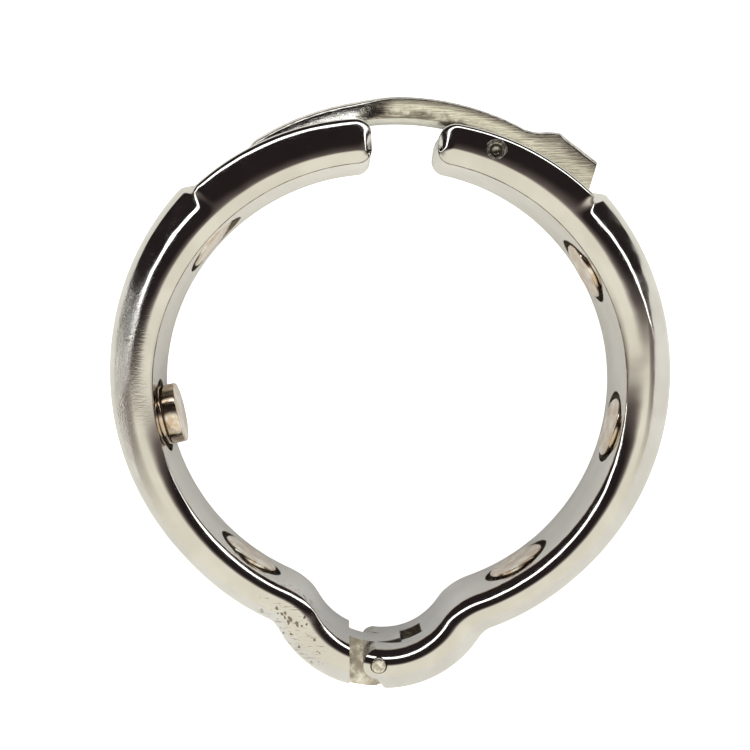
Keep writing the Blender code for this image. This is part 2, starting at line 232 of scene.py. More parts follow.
# Camera: it looks down on the ring from a hand's length away, and leans a little to -X and +Y.
LENS_SENSOR = 36.0
LENS_LENGTH = 61.07
CAMERA_TARGET = Vector((-1.003, 1.20, 3.8)) * MM
CAMERA_DISTANCE = 86 * MM
CAMERA_LEAN = (-1.4, 2.4)

# Studio: a warm sky with a dark half towards +Y, dusky at its edge, in which one strip light hangs.
SKY_COLOUR = (1.22, 1.17, 1.0)
DARK_COLOUR = (0.028, 0.021, 0.021)
STRIP_COLOUR = (4.0, 4.0, 3.9)
DUSK_COLOUR = (0.26, 0.21, 0.19)
DUSK_SPAN = (0.0, 0.3)
DARK_EDGE = (-0.16, 0.14)
SKY_TURN = 5.0
HORIZON_EDGE = (0.06, 0.42)
HORIZON_SIDE = (-0.6, 0.0)
STRIP_ANGLE = 55.0
STRIP_HALF_WIDTH = 3.9
BACKDROP_COLOUR = (0.97, 0.97, 0.97)
FLOOR_COLOUR = (0.93, 0.93, 0.925)
FLOOR_HALF_SIZE = 1.5
FLOOR_GLARE = 0.8
SUN_STRENGTH = 1.45
SUN_SOFTNESS = 80

LEFT_CENTRE = Vector((0.0, PIN_TO_CENTRE))
LOOP_CENTRE = Vector((0.0, LOOP_HEIGHT))
RIGHT_CENTRE = Matrix.Rotation(math.radians(-OPENING), 2) @ LEFT_CENTRE
HINGE_PLACE = Vector(next(j["pos_m"] for j in frame["joints"] if j["name"] == "ring_hinge"))
TO_WORLD = Matrix.Translation(HINGE_PLACE) @ Matrix.Scale(MM, 4)
MIRROR_AND_TURN = Matrix.Rotation(math.radians(-OPENING), 4, "Z") @ Matrix.Scale(-1, 4, (1, 0, 0))
FAR = 12.0


# --- small helpers ---


def direction(degrees):
    """Unit vector at a polar angle."""
    turn = math.radians(degrees)
    return Vector((math.cos(turn), math.sin(turn)))


def from_upright(degrees, radius):
    """Point at a radius about the hinge pin and an angle to the left of straight up."""
    return direction(90 + degrees) * radius


def spread(low, high, count):
    """Evenly spaced values with both limits."""
    return [low + (high - low) * index / (count - 1) for index in range(count)]


def arc(centre, radius, low, high, count):
    """Points along an arc."""
    return [centre + direction(angle) * radius for angle in spread(low, high, count)]


def smoothstep(low, high, value):
    """Ease from 0 to 1 between two limits."""
    share = min(1.0, max(0.0, (value - low) / (high - low)))
    return share * share * (3 - 2 * share)


def between(start, end, share):
    """Value or vector part of the way from start to end."""
    return start + (end - start) * share


# --- mesh helpers, in millimetres of the drawing frame ---


def ring_of_points(work, points):
    """Vertices for points."""
    return [work.verts.new(point) for point in points]


def join_rings(work, rings, lined=(), capped=True):
    """Faces between each ring of vertices and the next, and a cap at both ends.

    Faces that start at one of the lined places along a ring get the third material.
    """
    for ring, following in zip(rings, rings[1:]):
        for index in range(len(ring)):
            after = (index + 1) % len(ring)
            face = work.faces.new((ring[index], ring[after], following[after], following[index]))
            if index in lined:
                face.material_index = CREASE_SLOT
    if capped:
        work.faces.new(rings[0])
        work.faces.new(rings[-1])


def new_mesh(name, work):
    """A mesh in the world from a bmesh in the drawing frame."""
    bmesh.ops.recalc_face_normals(work, faces=work.faces)
    if work.calc_volume(signed=True) < 0:
        bmesh.ops.reverse_faces(work, faces=work.faces)
    mesh = bpy.data.meshes.new(name)
    work.to_mesh(mesh)
    work.free()
    mesh.transform(TO_WORLD)
    return mesh


def new_object(name, mesh):
    """An object in the scene."""
    thing = bpy.data.objects.new(name, mesh)
    bpy.context.scene.collection.objects.link(thing)
    return thing


def shade(mesh, degrees=30):
    """Smooth shading with sharp edges where faces meet at more than an angle."""
    mesh.shade_smooth()
    mesh.set_sharp_from_angle(angle=math.radians(degrees))


def prism(outline, low, high):
    """A bmesh of a flat outline between two heights."""
    work = bmesh.new()
    join_rings(work, [ring_of_points(work, [(p.x, p.y, z) for p in outline]) for z in (low, high)])
    return work


def turned(start, along, profile, sides=96):
    """A bmesh turned about an axis; the profile is (distance along, radius) pairs."""
    side = along.orthogonal().normalized()
    other = along.cross(side)
    turns = [2 * math.pi * index / sides for index in range(sides)]
    work = bmesh.new()
    rings = []
    for distance, radius in profile:
        around = [side * math.cos(turn) + other * math.sin(turn) for turn in turns]
        rings.append(ring_of_points(work, [start + along * distance + step * radius for step in around]))
    join_rings(work, rings)
    return work


def upright_bar(place, radius, height=FAR):
    """A cylinder along the ring's axis."""
    return turned(place.to_3d(), Vector((0, 0, 1)), [(-height / 2, radius), (height / 2, radius)])


def right_hand(work):
    """Carry a shape drawn for the left side over to the right side of the opened ring."""
    bmesh.ops.transform(work, matrix=MIRROR_AND_TURN, verts=work.verts)
    return work


def apply_booleans(thing, steps):
    """Cut bmeshes from an object, or join them to it; their faces get the second material."""
    helpers = []
    for operation, work in steps:
        mesh = new_mesh("helper", work)
        for _ in range(3):
            mesh.materials.append(None)
        for face in mesh.polygons:
            face.material_index = 1
        helper = new_object("helper", mesh)
        modifier = thing.modifiers.new("helper", "BOOLEAN")
        modifier.operation = operation
        modifier.solver = "EXACT"
        modifier.material_mode = "INDEX"
        modifier.object = helper
        helpers.append(helper)
    bpy.context.view_layer.update()
    evaluated = thing.evaluated_get(bpy.context.evaluated_depsgraph_get())
    result = bpy.data.meshes.new_from_object(evaluated)
    thing.modifiers.clear()
    thing.data = result
    for helper in helpers:
        bpy.data.objects.remove(helper)


def carry_normals(mesh, smooth):
    """Give faces of the first material the shading normals of the uncut mesh that they came from."""
    smooth.calc_loop_triangles()
    corners = [Vector(normal.vector) for normal in smooth.corner_normals]
    triangles = [tuple(triangle.vertices) for triangle in smooth.loop_triangles]
    loops = [tuple(triangle.loops) for triangle in smooth.loop_triangles]
    places = [vertex.co / MM for vertex in smooth.vertices]
    tree = BVHTree.FromPolygons(places, triangles)
    normals = [Vector(normal.vector) for normal in mesh.corner_normals]
    for face in mesh.polygons:
        if face.material_index == 1:
            continue
        index = tree.find_nearest(face.center / MM)[2]
        a, b, c = (places[vertex] for vertex in triangles[index])
        na, nb, nc = (corners[loop] for loop in loops[index])
        across, up = b - a, c - a
        aa, ab, bb = across.dot(across), across.dot(up), up.dot(up)
        scale = aa * bb - ab * ab
        if scale < 1e-14:
            continue
        for loop in face.loop_indices:
            offset = mesh.vertices[mesh.loops[loop].vertex_index].co / MM - a
            oa, ob = offset.dot(across), offset.dot(up)
            v = (bb * oa - ab * ob) / scale
            w = (aa * ob - ab * oa) / scale
            normals[loop] = (na * (1 - v - w) + nb * v + nc * w).normalized()
    mesh.normals_split_custom_set(normals)


# --- bows ---


def full_thickness(angle):
    """Radial thickness of the bow before its free end is lowered."""
    return THICKNESS_MEAN + THICKNESS_SWING * math.sin(math.radians(angle))


def top_radius(angle, end, shoulder, full_radius):
    """Radius of the outer face, which steps down at the shoulder and then falls to the end."""
    share = min(1.0, (angle - end) / (shoulder - end))
    lowered = between(LOWERED_AT_END, LOWERED_AT_SHOULDER, share)
    return between(lowered, full_radius, smoothstep(-SHOULDER_SPREAD, SHOULDER_SPREAD, angle - shoulder))


def bevel_fall(away):
    """Drop of the inner bevel at a distance inwards from the ridge, the highest line of the face."""
    return BEVEL_SLOPE * (math.hypot(away, BEVEL_ROUND) - BEVEL_ROUND)


def face_falls(reach, face_round, whole):
    """Drops and slopes of the outer part of the face at even steps outwards from the ridge.

    Whole is 1 where the bow has its full thickness, and 0 where it is lowered.
    """
    falls = []
    for share in spread(0, 1, FACE_STEPS):
        away = reach * share
        across, flat = math.hypot(away, face_round), math.sqrt(LOWERED_FACE_RADIUS**2 - away**2)
        fall = between(LOWERED_FACE_RADIUS - flat, FACE_SLOPE * (across - face_round), whole)
        falls.append((away, fall, between(away / flat, FACE_SLOPE * away / across, whole)))
    return falls


def bow_section(thickness, face_round, ridge, whole, inset, sunk):
    """Half of the section as (outward, height) pairs, from the inner wall over the ridge to the outer."""
    inner, outer = inset, thickness - inset
    top = WIDTH / 2 - sunk
    flatter = (bevel_fall(ridge) - sunk) / bevel_fall(ridge - inner)
    crease = Vector((inner, WIDTH / 2 - bevel_fall(ridge)))
    leaving = Vector((1, flatter)).normalized() * CREASE_ROUND
    arriving = Vector((0, -CREASE_ROUND))
    points = [(inner, WALL_SHARE * crease.y), (inner, crease.y - WALL_STEP * CREASE_ROUND)]
    for share in spread(0, 1, CREASE_STEPS):
        bend = crease + arriving * (1 - share) ** 2 + leaving * share**2
        points.append((bend.x, bend.y))
    for share in spread(0, 1, BEVEL_STEPS)[1:]:
        away = (ridge - inner - leaving.x) * (1 - share)
        points.append((ridge - away, top - flatter * bevel_fall(away)))
    rim = between(LOWERED_RIM_SHARE, RIM_SHARE, whole) * (thickness - ridge)
    rim_fall = between(LOWERED_RIM_FALL, RIM_FALL, whole)
    falls = face_falls(outer - ridge - rim, face_round, whole)
    last_away, last_fall, last_slope = falls[-1]
    lower = 1 - sunk / (last_fall + rim_fall + END_WALL_ALLOWANCE)
    points += [(ridge + away, top - lower * fall) for away, fall, _ in falls[1:]]
    start = Vector((ridge + last_away, top - lower * last_fall))
    corner = Vector((outer, start.y - lower * last_slope * rim))
    end = corner - Vector((0, lower * rim_fall))
    for share in spread(0, 1, RIM_STEPS)[1:]:
        bend = start * (1 - share) ** 2 + corner * (2 * share * (1 - share)) + end * share**2
        points.append((bend.x, bend.y))
    points.append((outer, end.y - OUTER_WALL_STEP))
    return points


def section_ring(work, inner_point, outward, half):
    """Vertices of one section of the bow, all the way round, from its upper half."""
    whole = [(half[0][0], 0.0)] + half + [(half[-1][0], 0.0)] + [(n, -z) for n, z in reversed(half)]
    places = [inner_point + outward * n for n, z in whole]
    return ring_of_points(work, [(p.x, p.y, z) for p, (n, z) in zip(places, whole)])


def kink():
    """Centre of the reversed bend, and the polar angles at which it leaves the bow and meets the loop."""
    bow_middle = OUTER_RADIUS - full_thickness(246) / 2
    loop_middle = (LOOP_INNER_RADIUS + LOOP_OUTER_RADIUS) / 2
    from_bow, from_loop = bow_middle + KINK_RADIUS, loop_middle + KINK_RADIUS
    apart = PIN_TO_CENTRE - LOOP_HEIGHT
    below = (from_bow**2 - from_loop**2 + apart**2) / (2 * apart)
    beside = math.sqrt(from_bow**2 - below**2)
    centre = LEFT_CENTRE + Vector((-beside, -below))
    at_bow = centre - LEFT_CENTRE
    at_loop = centre - LOOP_CENTRE
    bow_angle = math.degrees(math.atan2(at_bow.y, at_bow.x)) % 360
    loop_angle = math.degrees(math.atan2(at_loop.y, at_loop.x)) % 360
    return centre, bow_angle, loop_angle


def end_shape(distance):
    """How far the outline is inset and the face sunk at a distance in millimetres from the free end."""
    inset = sunk = 0.0
    if distance < END_CORNER:
        inset = END_CORNER - math.sqrt(END_CORNER**2 - (END_CORNER - distance) ** 2)
    if distance < END_DOME:
        sunk = bevel_fall(END_DOME - distance)
    return END_CORNER_SHARE * inset, sunk


def bow_body(end, shoulder, ridge, face_rounds, tuck, swell, past_pin):
    """The swept bow, drawn on the left: free end, main arc, reversed bend and half of the hinge loop."""
    work = bmesh.new()
    centre, bow_angle, loop_angle = kink()
    rings = []
    middle_radius = OUTER_RADIUS - THICKNESS_MEAN / 2
    end_turn = math.degrees(END_DOME / middle_radius)

    def main_ring(angle):
        inner_radius = OUTER_RADIUS - full_thickness(angle) - swell * smoothstep(*SWELL_SPAN, angle)
        hidden = tuck * smoothstep(bow_angle, bow_angle - TUCK_SPREAD, angle)
        thickness = top_radius(angle, end, shoulder, OUTER_RADIUS - hidden) - inner_radius
        inner_point = LEFT_CENTRE + direction(angle) * inner_radius
        inset, sunk = end_shape(math.radians(angle - end) * middle_radius)
        whole = smoothstep(-SHOULDER_SPREAD, SHOULDER_SPREAD, angle - shoulder)
        face_round = between(*face_rounds, smoothstep(*FACE_ROUND_SPAN, angle))
        section = bow_section(thickness, face_round, ridge, whole, inset, sunk)
        rings.append(section_ring(work, inner_point, direction(angle), section))

    for turn in spread(0, math.pi / 2, END_SECTIONS):
        main_ring(end + end_turn * (1 - math.cos(turn)))
    for angle in spread(end + end_turn, shoulder - SHOULDER_SPREAD, LOWERED_SECTIONS)[1:]:
        main_ring(angle)
    for angle in spread(shoulder - SHOULDER_SPREAD, shoulder + SHOULDER_SPREAD, SHOULDER_SECTIONS)[1:]:
        main_ring(angle)
    for angle in spread(shoulder + SHOULDER_SPREAD, bow_angle, ARC_SECTIONS)[1:]:
        main_ring(angle)
    bow_thickness = full_thickness(bow_angle)
    loop_thickness = LOOP_OUTER_RADIUS - LOOP_INNER_RADIUS
    bend = spread(bow_angle - 180, loop_angle - 180, BEND_SECTIONS)[1:-1]
    for step, angle in enumerate(bend, start=1):
        thickness = between(bow_thickness, loop_thickness, smoothstep(0, len(bend) + 1, step))
        inner_point = centre + direction(angle) * (KINK_RADIUS + thickness / 2)
        section = bow_section(thickness, face_rounds[0], ridge, 1, 0, 0)
        rings.append(section_ring(work, inner_point, -direction(angle), section))
    last_angle = 270 + math.degrees(math.asin(past_pin / LOOP_INNER_RADIUS))
    for angle in spread(loop_angle, last_angle, LOOP_SECTIONS):
        inner_point = LOOP_CENTRE + direction(angle) * LOOP_INNER_RADIUS
        section = bow_section(loop_thickness, face_rounds[0], ridge, 1, 0, 0)
        rings.append(section_ring(work, inner_point, direction(angle), section))
    # The crease faces get the third material, which paints a dark line of shade along the crease.
    crease = range(CREASE_START + 1, CREASE_START + CREASE_STEPS)
    around = len(rings[0])
    join_rings(work, rings, [*crease, *(around - 1 - index for index in crease)])
    return work


def knuckle_cutter(radius, flank=()):
    """Everything to the right of the pin and outside a circle about it, drawn on the left."""
    half_circle = arc(Vector((0, 0)), radius, 90, -90, 49)
    below = Vector((flank[0].x if flank else 0, -FAR))
    corners = [below, Vector((FAR, -FAR)), Vector((FAR, FAR)), Vector((0, FAR))]
    return prism(half_circle + list(flank) + corners, -FAR, FAR)


def box_cutter(low, high):
    """An upright box between two corners."""
    outline = [Vector((low[0], low[1])), Vector((high[0], low[1]))]
    outline += [Vector((high[0], high[1])), Vector((low[0], high[1]))]
    return prism(outline, low[2], high[2])


def pocket_cutter(centre_angle):
    """A blind round pocket in the inner wall, with a rounded foot, drawn on the left."""
    outward = direction(centre_angle).to_3d()
    wall = OUTER_RADIUS - full_thickness(centre_angle)
    floor = MAGNET_THICKNESS - MAGNET_PROUD + POCKET_GAP
    profile = [(-2, POCKET_RADIUS), (floor - 0.1, POCKET_RADIUS), (floor, POCKET_RADIUS - 0.1)]
    return turned(LEFT_CENTRE.to_3d() + outward * wall, outward, profile)


def left_channel_cutter():
    """The latch's channel in the left bow: its floor is a ratchet on an arc about the hinge pin."""
    root = BOW_TOOTH_RADIUS - TOOTH_HEIGHT
    floor = [from_upright(angle, root) for angle in spread(-1.0, LEVER_TOOTH_START - TOOTH_PITCH, 20)]
    for tooth in range(BOW_TEETH):
        steep = LEVER_TOOTH_START - TOOTH_PITCH / 14 + tooth * TOOTH_PITCH
        floor.append(from_upright(steep, BOW_TOOTH_RADIUS))
        floor.append(from_upright(steep, root))
    floor.append(from_upright(LEFT_CHANNEL_END, root))
    roof = [from_upright(LEFT_CHANNEL_END, root + FAR), from_upright(-1.0, root + FAR)]
    return prism(floor + roof, -CHANNEL_WIDTH / 2, CHANNEL_WIDTH / 2)


def right_channel_cutter():
    """The latch's channel in the right bow, open at the free end."""
    floor = arc(RIGHT_CENTRE, RIGHT_CHANNEL_RADIUS, 95, RIGHT_CHANNEL_END, 60)
    roof = arc(RIGHT_CENTRE, RIGHT_CHANNEL_RADIUS + FAR, RIGHT_CHANNEL_END, 95, 2)
    return prism(floor + roof, -CHANNEL_WIDTH / 2, CHANNEL_WIDTH / 2)


def finish_bow(name, work, steps, body, materials):
    """Cut the swept bow, keep its polished shading and hand it to its body."""
    uncut = new_mesh(name + "_uncut", work)
    shade(uncut, 55)
    bow = new_object(name + "_surface", uncut.copy())
    for material in materials:
        bow.data.materials.append(material)
    apply_booleans(bow, steps)
    shade(bow.data)
    carry_normals(bow.data, uncut)
    bpy.data.meshes.remove(uncut)
    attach(bow, body)
    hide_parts(name)


def make_left_bow(materials):
    steps = [
        ("DIFFERENCE", left_channel_cutter()),
        ("DIFFERENCE", knuckle_cutter(TONGUE_RADIUS)),
        ("DIFFERENCE", box_cutter((-TONGUE_ROOT, -FAR, TONGUE_WIDTH / 2), (FAR, FAR / 2, FAR))),
        ("DIFFERENCE", box_cutter((-TONGUE_ROOT, -FAR, -FAR), (FAR, FAR / 2, -TONGUE_WIDTH / 2))),
        ("DIFFERENCE", upright_bar(Vector((0, 0)), HINGE_PIN_RADIUS + RUNNING_GAP)),
    ]
    steps += [("DIFFERENCE", pocket_cutter(angle)) for angle in LEFT_MAGNETS.values()]
    curves = (LEFT_RIDGE, LEFT_FACE_ROUND, LEFT_TUCK, LEFT_SWELL)
    work = bow_body(LEFT_END, LEFT_SHOULDER, *curves, TONGUE_RADIUS + 0.2)
    finish_bow("left_bow", work, steps, "left_half", materials)


def make_right_bow(materials):
    outward = direction(SPRING_ANGLE).to_3d()
    pocket = [(SPRING_POCKET_FLOOR, SPRING_POCKET_RADIUS), (RIGHT_CHANNEL_RADIUS + 1, SPRING_POCKET_RADIUS)]
    flank = [Vector((-FLANK_RUN, -FLANK_FALL))]
    slot_low, slot_high = (-SLOT_DEPTH, -FAR, -SLOT_WIDTH / 2), (FAR, FAR / 2, SLOT_WIDTH / 2)
    steps = [
        ("DIFFERENCE", right_channel_cutter()),
        ("DIFFERENCE", upright_bar(LEVER_PIVOT, LUG_POCKET_RADIUS, CHANNEL_WIDTH - 0.02)),
        ("DIFFERENCE", upright_bar(LEVER_PIVOT, LATCH_PIN_RADIUS + RUNNING_GAP)),
        ("DIFFERENCE", right_hand(knuckle_cutter(EAR_RADIUS, flank))),
        ("DIFFERENCE", right_hand(box_cutter(slot_low, slot_high))),
        ("DIFFERENCE", upright_bar(Vector((0, 0)), HINGE_PIN_RADIUS + RUNNING_GAP)),
        ("DIFFERENCE", turned(RIGHT_CENTRE.to_3d(), outward, pocket, 48)),
    ]
    steps += [("DIFFERENCE", right_hand(pocket_cutter(angle))) for angle in RIGHT_MAGNETS.values()]
    curves = (RIGHT_RIDGE, RIGHT_FACE_ROUND, RIGHT_TUCK, RIGHT_SWELL)
    work = bow_body(RIGHT_END, RIGHT_SHOULDER, *curves, EAR_RADIUS + 0.2)
    right_hand(work)
    finish_bow("right_bow", work, steps, "right_half", materials)


# --- latch ---


def smooth_line(points, count):
    """Points along a smooth curve through a few points."""
    line = []
    ends = [points[0] * 2 - points[1]] + points + [points[-1] * 2 - points[-2]]
    for value in spread(0, len(points) - 1, count):
        index = min(int(value), len(points) - 2)
        t = value - index
        before, start, end, after = ends[index : index + 4]
        line.append(
            0.5 * (start * 2 + (end - before) * t + (before * 2 - start * 5 + end * 4 - after) * t**2)
            + 0.5 * (start * 3 - before - end * 3 + after) * t**3
        )
    return line


def lever_edges():
    """Pairs of points on the lever's top and underside, from its tip to its tail."""
    pairs = []
    for angle in spread(LEVER_TIP, LEVER_ARC_END, 110):
        along = direction(angle)
        top = LEVER_TOP_RADIUS - LEVER_TIP_FALL * smoothstep(LEVER_TIP_TOP, LEVER_TIP, angle)
        reach = LEVER_CENTRE.dot(along)
        teeth_root = math.sqrt(reach**2 + TOOTH_ROOT**2 - LEVER_CENTRE.length_squared) - reach
        under = max(LEVER_UNDER_RADIUS, teeth_root)
        pairs.append((LEVER_CENTRE + along * top, LEVER_CENTRE + along * under))
    top_points = [pairs[-1][0], Vector((9.75, 35.17)), Vector((10.5, 34.98)), Vector((11.3, 35.0))]
    top_points.append(TAB_CORNER)
    under_points = [pairs[-1][1]] + arc(RIGHT_CENTRE, 16.45, 61.5, 46.5, 5) + [Vector((13.85, 30.65))]
    to_corner, beyond = 34, 23
    top = smooth_line(top_points, to_corner)
    top += [between(TAB_CORNER, TAB_TIP, share) for share in spread(0, 1, beyond)[1:]]
    pairs += list(zip(top, smooth_line(under_points, to_corner + beyond - 1)))[1:]
    return pairs


def lever_section(height, worn, rolled):
    """Half of the lever's section as (up, across) pairs.

    A worn section leans; both a worn and a rolled one have a wide round along the outer edge.
    """
    half = LEVER_WIDTH / 2
    lean = between(*LEVER_LEANS, worn)
    rounded = max(worn, rolled)
    round_up, round_across = between(*LEVER_ROUNDS_UP, rounded), between(*LEVER_ROUNDS_ACROSS, rounded)
    round_up = min(round_up, 0.6 * height)
    points = [(0.0, half - 0.05), (0.015, half - 0.015), (0.05, half)]
    for share in (0.3, 0.65, 1.0):
        up = (height - round_up) * share
        points.append((up, half - lean * (up / height)))
    across = points[-1][1]
    for turn in spread(0, math.pi / 2, 7)[1:]:
        up = height - round_up + round_up * math.sin(turn)
        points.append((up, across - round_across * (1 - math.cos(turn))))
    return points


def lever_ribbon():
    """The lever's plate, swept from tip to tail."""
    work = bmesh.new()
    rings = []
    pairs = lever_edges()
    for top, under in pairs:
        up = top - under
        height = up.length
        worn = 1 - smoothstep(*LEVER_WORN_SPAN, under.x)
        rolled = smoothstep(-TAB_ROLL_SPREAD, TAB_ROLL_SPREAD, top.x - TAB_CORNER.x)
        half = lever_section(height, worn, rolled)
        whole = half + [(n, -z) for n, z in reversed(half)]
        places = [under + up * (n / height) for n, z in whole]
        rings.append(ring_of_points(work, [(p.x, p.y, z) for p, (n, z) in zip(places, whole)]))
    rounding = range(LEVER_FLAT_POINTS - 1, len(half) - 1)
    join_rings(work, rings, [*rounding, *(2 * len(half) - 2 - index for index in rounding)])
    return work


def make_lever(materials):
    lug = arc(LEVER_PIVOT, LEVER_LUG_RADIUS, 10, -190, 40)
    lug += arc(LEVER_CENTRE, LEVER_UNDER_RADIUS + 0.5, 69.5, 62.8, 3)
    teeth = []
    for tooth in range(LEVER_TEETH):
        steep = LEVER_TOOTH_START + tooth * TOOTH_PITCH
        teeth.append(from_upright(steep, TOOTH_ROOT))
        teeth.append(from_upright(steep, TOOTH_ROOT - TOOTH_HEIGHT))
    last = LEVER_TOOTH_START + LEVER_TEETH * TOOTH_PITCH
    teeth += [from_upright(last, TOOTH_ROOT + 0.02), from_upright(last - 0.05, TOOTH_ROOT + 0.3)]
    teeth.append(from_upright(LEVER_TOOTH_START, TOOTH_ROOT + 0.3))
    half = LEVER_WIDTH / 2 - 0.06
    lever = new_object("latch_lever_surface", new_mesh("latch_lever_surface", lever_ribbon()))
    for material in materials:
        lever.data.materials.append(material)
    steps = [
        ("UNION", prism(lug, -half, half)),
        ("UNION", prism(teeth, -half, half)),
        ("DIFFERENCE", upright_bar(LEVER_PIVOT, LATCH_PIN_RADIUS + RUNNING_GAP)),
    ]
    apply_booleans(lever, steps)
    shade(lever.data, 35)
    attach(lever, "latch")
    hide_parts("latch_lever")


# --- pins, spring and magnets ---


def make_pin(node, place, head, material):
    """A peened pin; the head is (height, radius) pairs from the middle of its end outwards."""
    half = WIDTH / 2
    lower = [(-half - height, radius) for height, radius in head]
    upper = [(half + height, radius) for height, radius in reversed(head)]
    work = turned(place.to_3d(), Vector((0, 0, 1)), lower + upper, 64)
    mesh = new_mesh(node + "_surface", work)
    shade(mesh, 50)
    pin = new_object(node + "_surface", mesh)
    mesh.materials.append(material)
    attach(pin, "right_half")
    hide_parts(node)


def make_pins(hinge_material, latch_material):
    radius = HINGE_PIN_RADIUS
    hinge = [(-0.035, 0.05), (-0.03, 0.2), (-0.02, radius - 0.16), (-0.035, radius - 0.06)]
    hinge += [(-0.07, radius - 0.015), (-0.13, radius)]
    make_pin("hinge_pin", Vector((0, 0)), hinge, hinge_material)
    radius = LATCH_PIN_RADIUS
    latch = [(-0.4, 0.04), (-0.39, 0.16), (-0.33, 0.3), (-0.16, 0.38), (-0.04, 0.43), (0.0, 0.5)]
    latch += [(0.01, 0.56), (-0.02, 0.61), (-0.07, 0.66), (-0.05, 0.7), (-0.07, 0.73), (-0.2, 0.74)]
    latch.append((-0.35, radius))
    make_pin("latch_pin", LEVER_PIVOT, latch, latch_material)


def make_spring(material):
    """A wound wire between the right bow's pocket and the tab."""
    outward = direction(SPRING_ANGLE).to_3d()
    side = Vector((-outward.y, outward.x, 0))
    upward = Vector((0, 0, 1))
    base = RIGHT_CENTRE.to_3d()
    low = SPRING_START + SPRING_WIRE_RADIUS
    high = SPRING_END - SPRING_WIRE_RADIUS
    coil = SPRING_RADIUS - SPRING_WIRE_RADIUS
    count = SPRING_TURNS * 36 + 1
    work = bmesh.new()
    rings = []
    for index in range(count):
        turn = 2 * math.pi * index / 36
        away = side * math.cos(turn) + upward * math.sin(turn)
        middle = base + outward * between(low, high, index / (count - 1)) + away * coil
        wire = [2 * math.pi * corner / 10 for corner in range(10)]
        around = [away * math.cos(angle) + outward * math.sin(angle) for angle in wire]
        rings.append(ring_of_points(work, [middle + step * SPRING_WIRE_RADIUS for step in around]))
    join_rings(work, rings)
    mesh = new_mesh("latch_spring_surface", work)
    shade(mesh, 60)
    mesh.materials.append(material)
    spring = new_object("latch_spring_surface", mesh)
    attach(spring, "right_half")
    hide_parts("latch_spring")
    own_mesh(spring)


def magnet_profile():
    """Half outline of a disc with rounded rims, as (distance along, radius) pairs."""
    points = [(0.0, 0.05), (0.0, 1.0)]
    for turn in spread(-90, 0, 5):
        step = direction(turn)
        along = MAGNET_CHAMFER * (1 + step.y)
        points.append((along, MAGNET_RADIUS - MAGNET_CHAMFER * (1 - step.x)))
    return points + [(MAGNET_THICKNESS - along, radius) for along, radius in reversed(points)]


def make_magnet(name, angle, near, mirrored, body, material):
    outward = direction(angle).to_3d()
    work = turned(LEFT_CENTRE.to_3d() + outward * near, outward, magnet_profile())
    if mirrored:
        right_hand(work)
    mesh = new_mesh(name + "_surface", work)
    shade(mesh, 50)
    mesh.materials.append(material)
    disc = new_object(name + "_surface", mesh)
    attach(disc, body)
    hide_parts(name)


def make_magnets(material):
    for names, mirrored, body in ((LEFT_MAGNETS, False, "left_half"), (RIGHT_MAGNETS, True, "right_half")):
        for name, angle in names.items():
            near = OUTER_RADIUS - full_thickness(angle) - MAGNET_PROUD
            make_magnet(name, angle, near, mirrored, body, material)
    angle = LEFT_MAGNETS["middle_left_magnet"]
    near = OUTER_RADIUS - full_thickness(angle) - MAGNET_PROUD - STACK_GAP - MAGNET_THICKNESS
    make_magnet("stacked_magnet", angle, near, False, "loose_magnet", material)


# --- materials ---


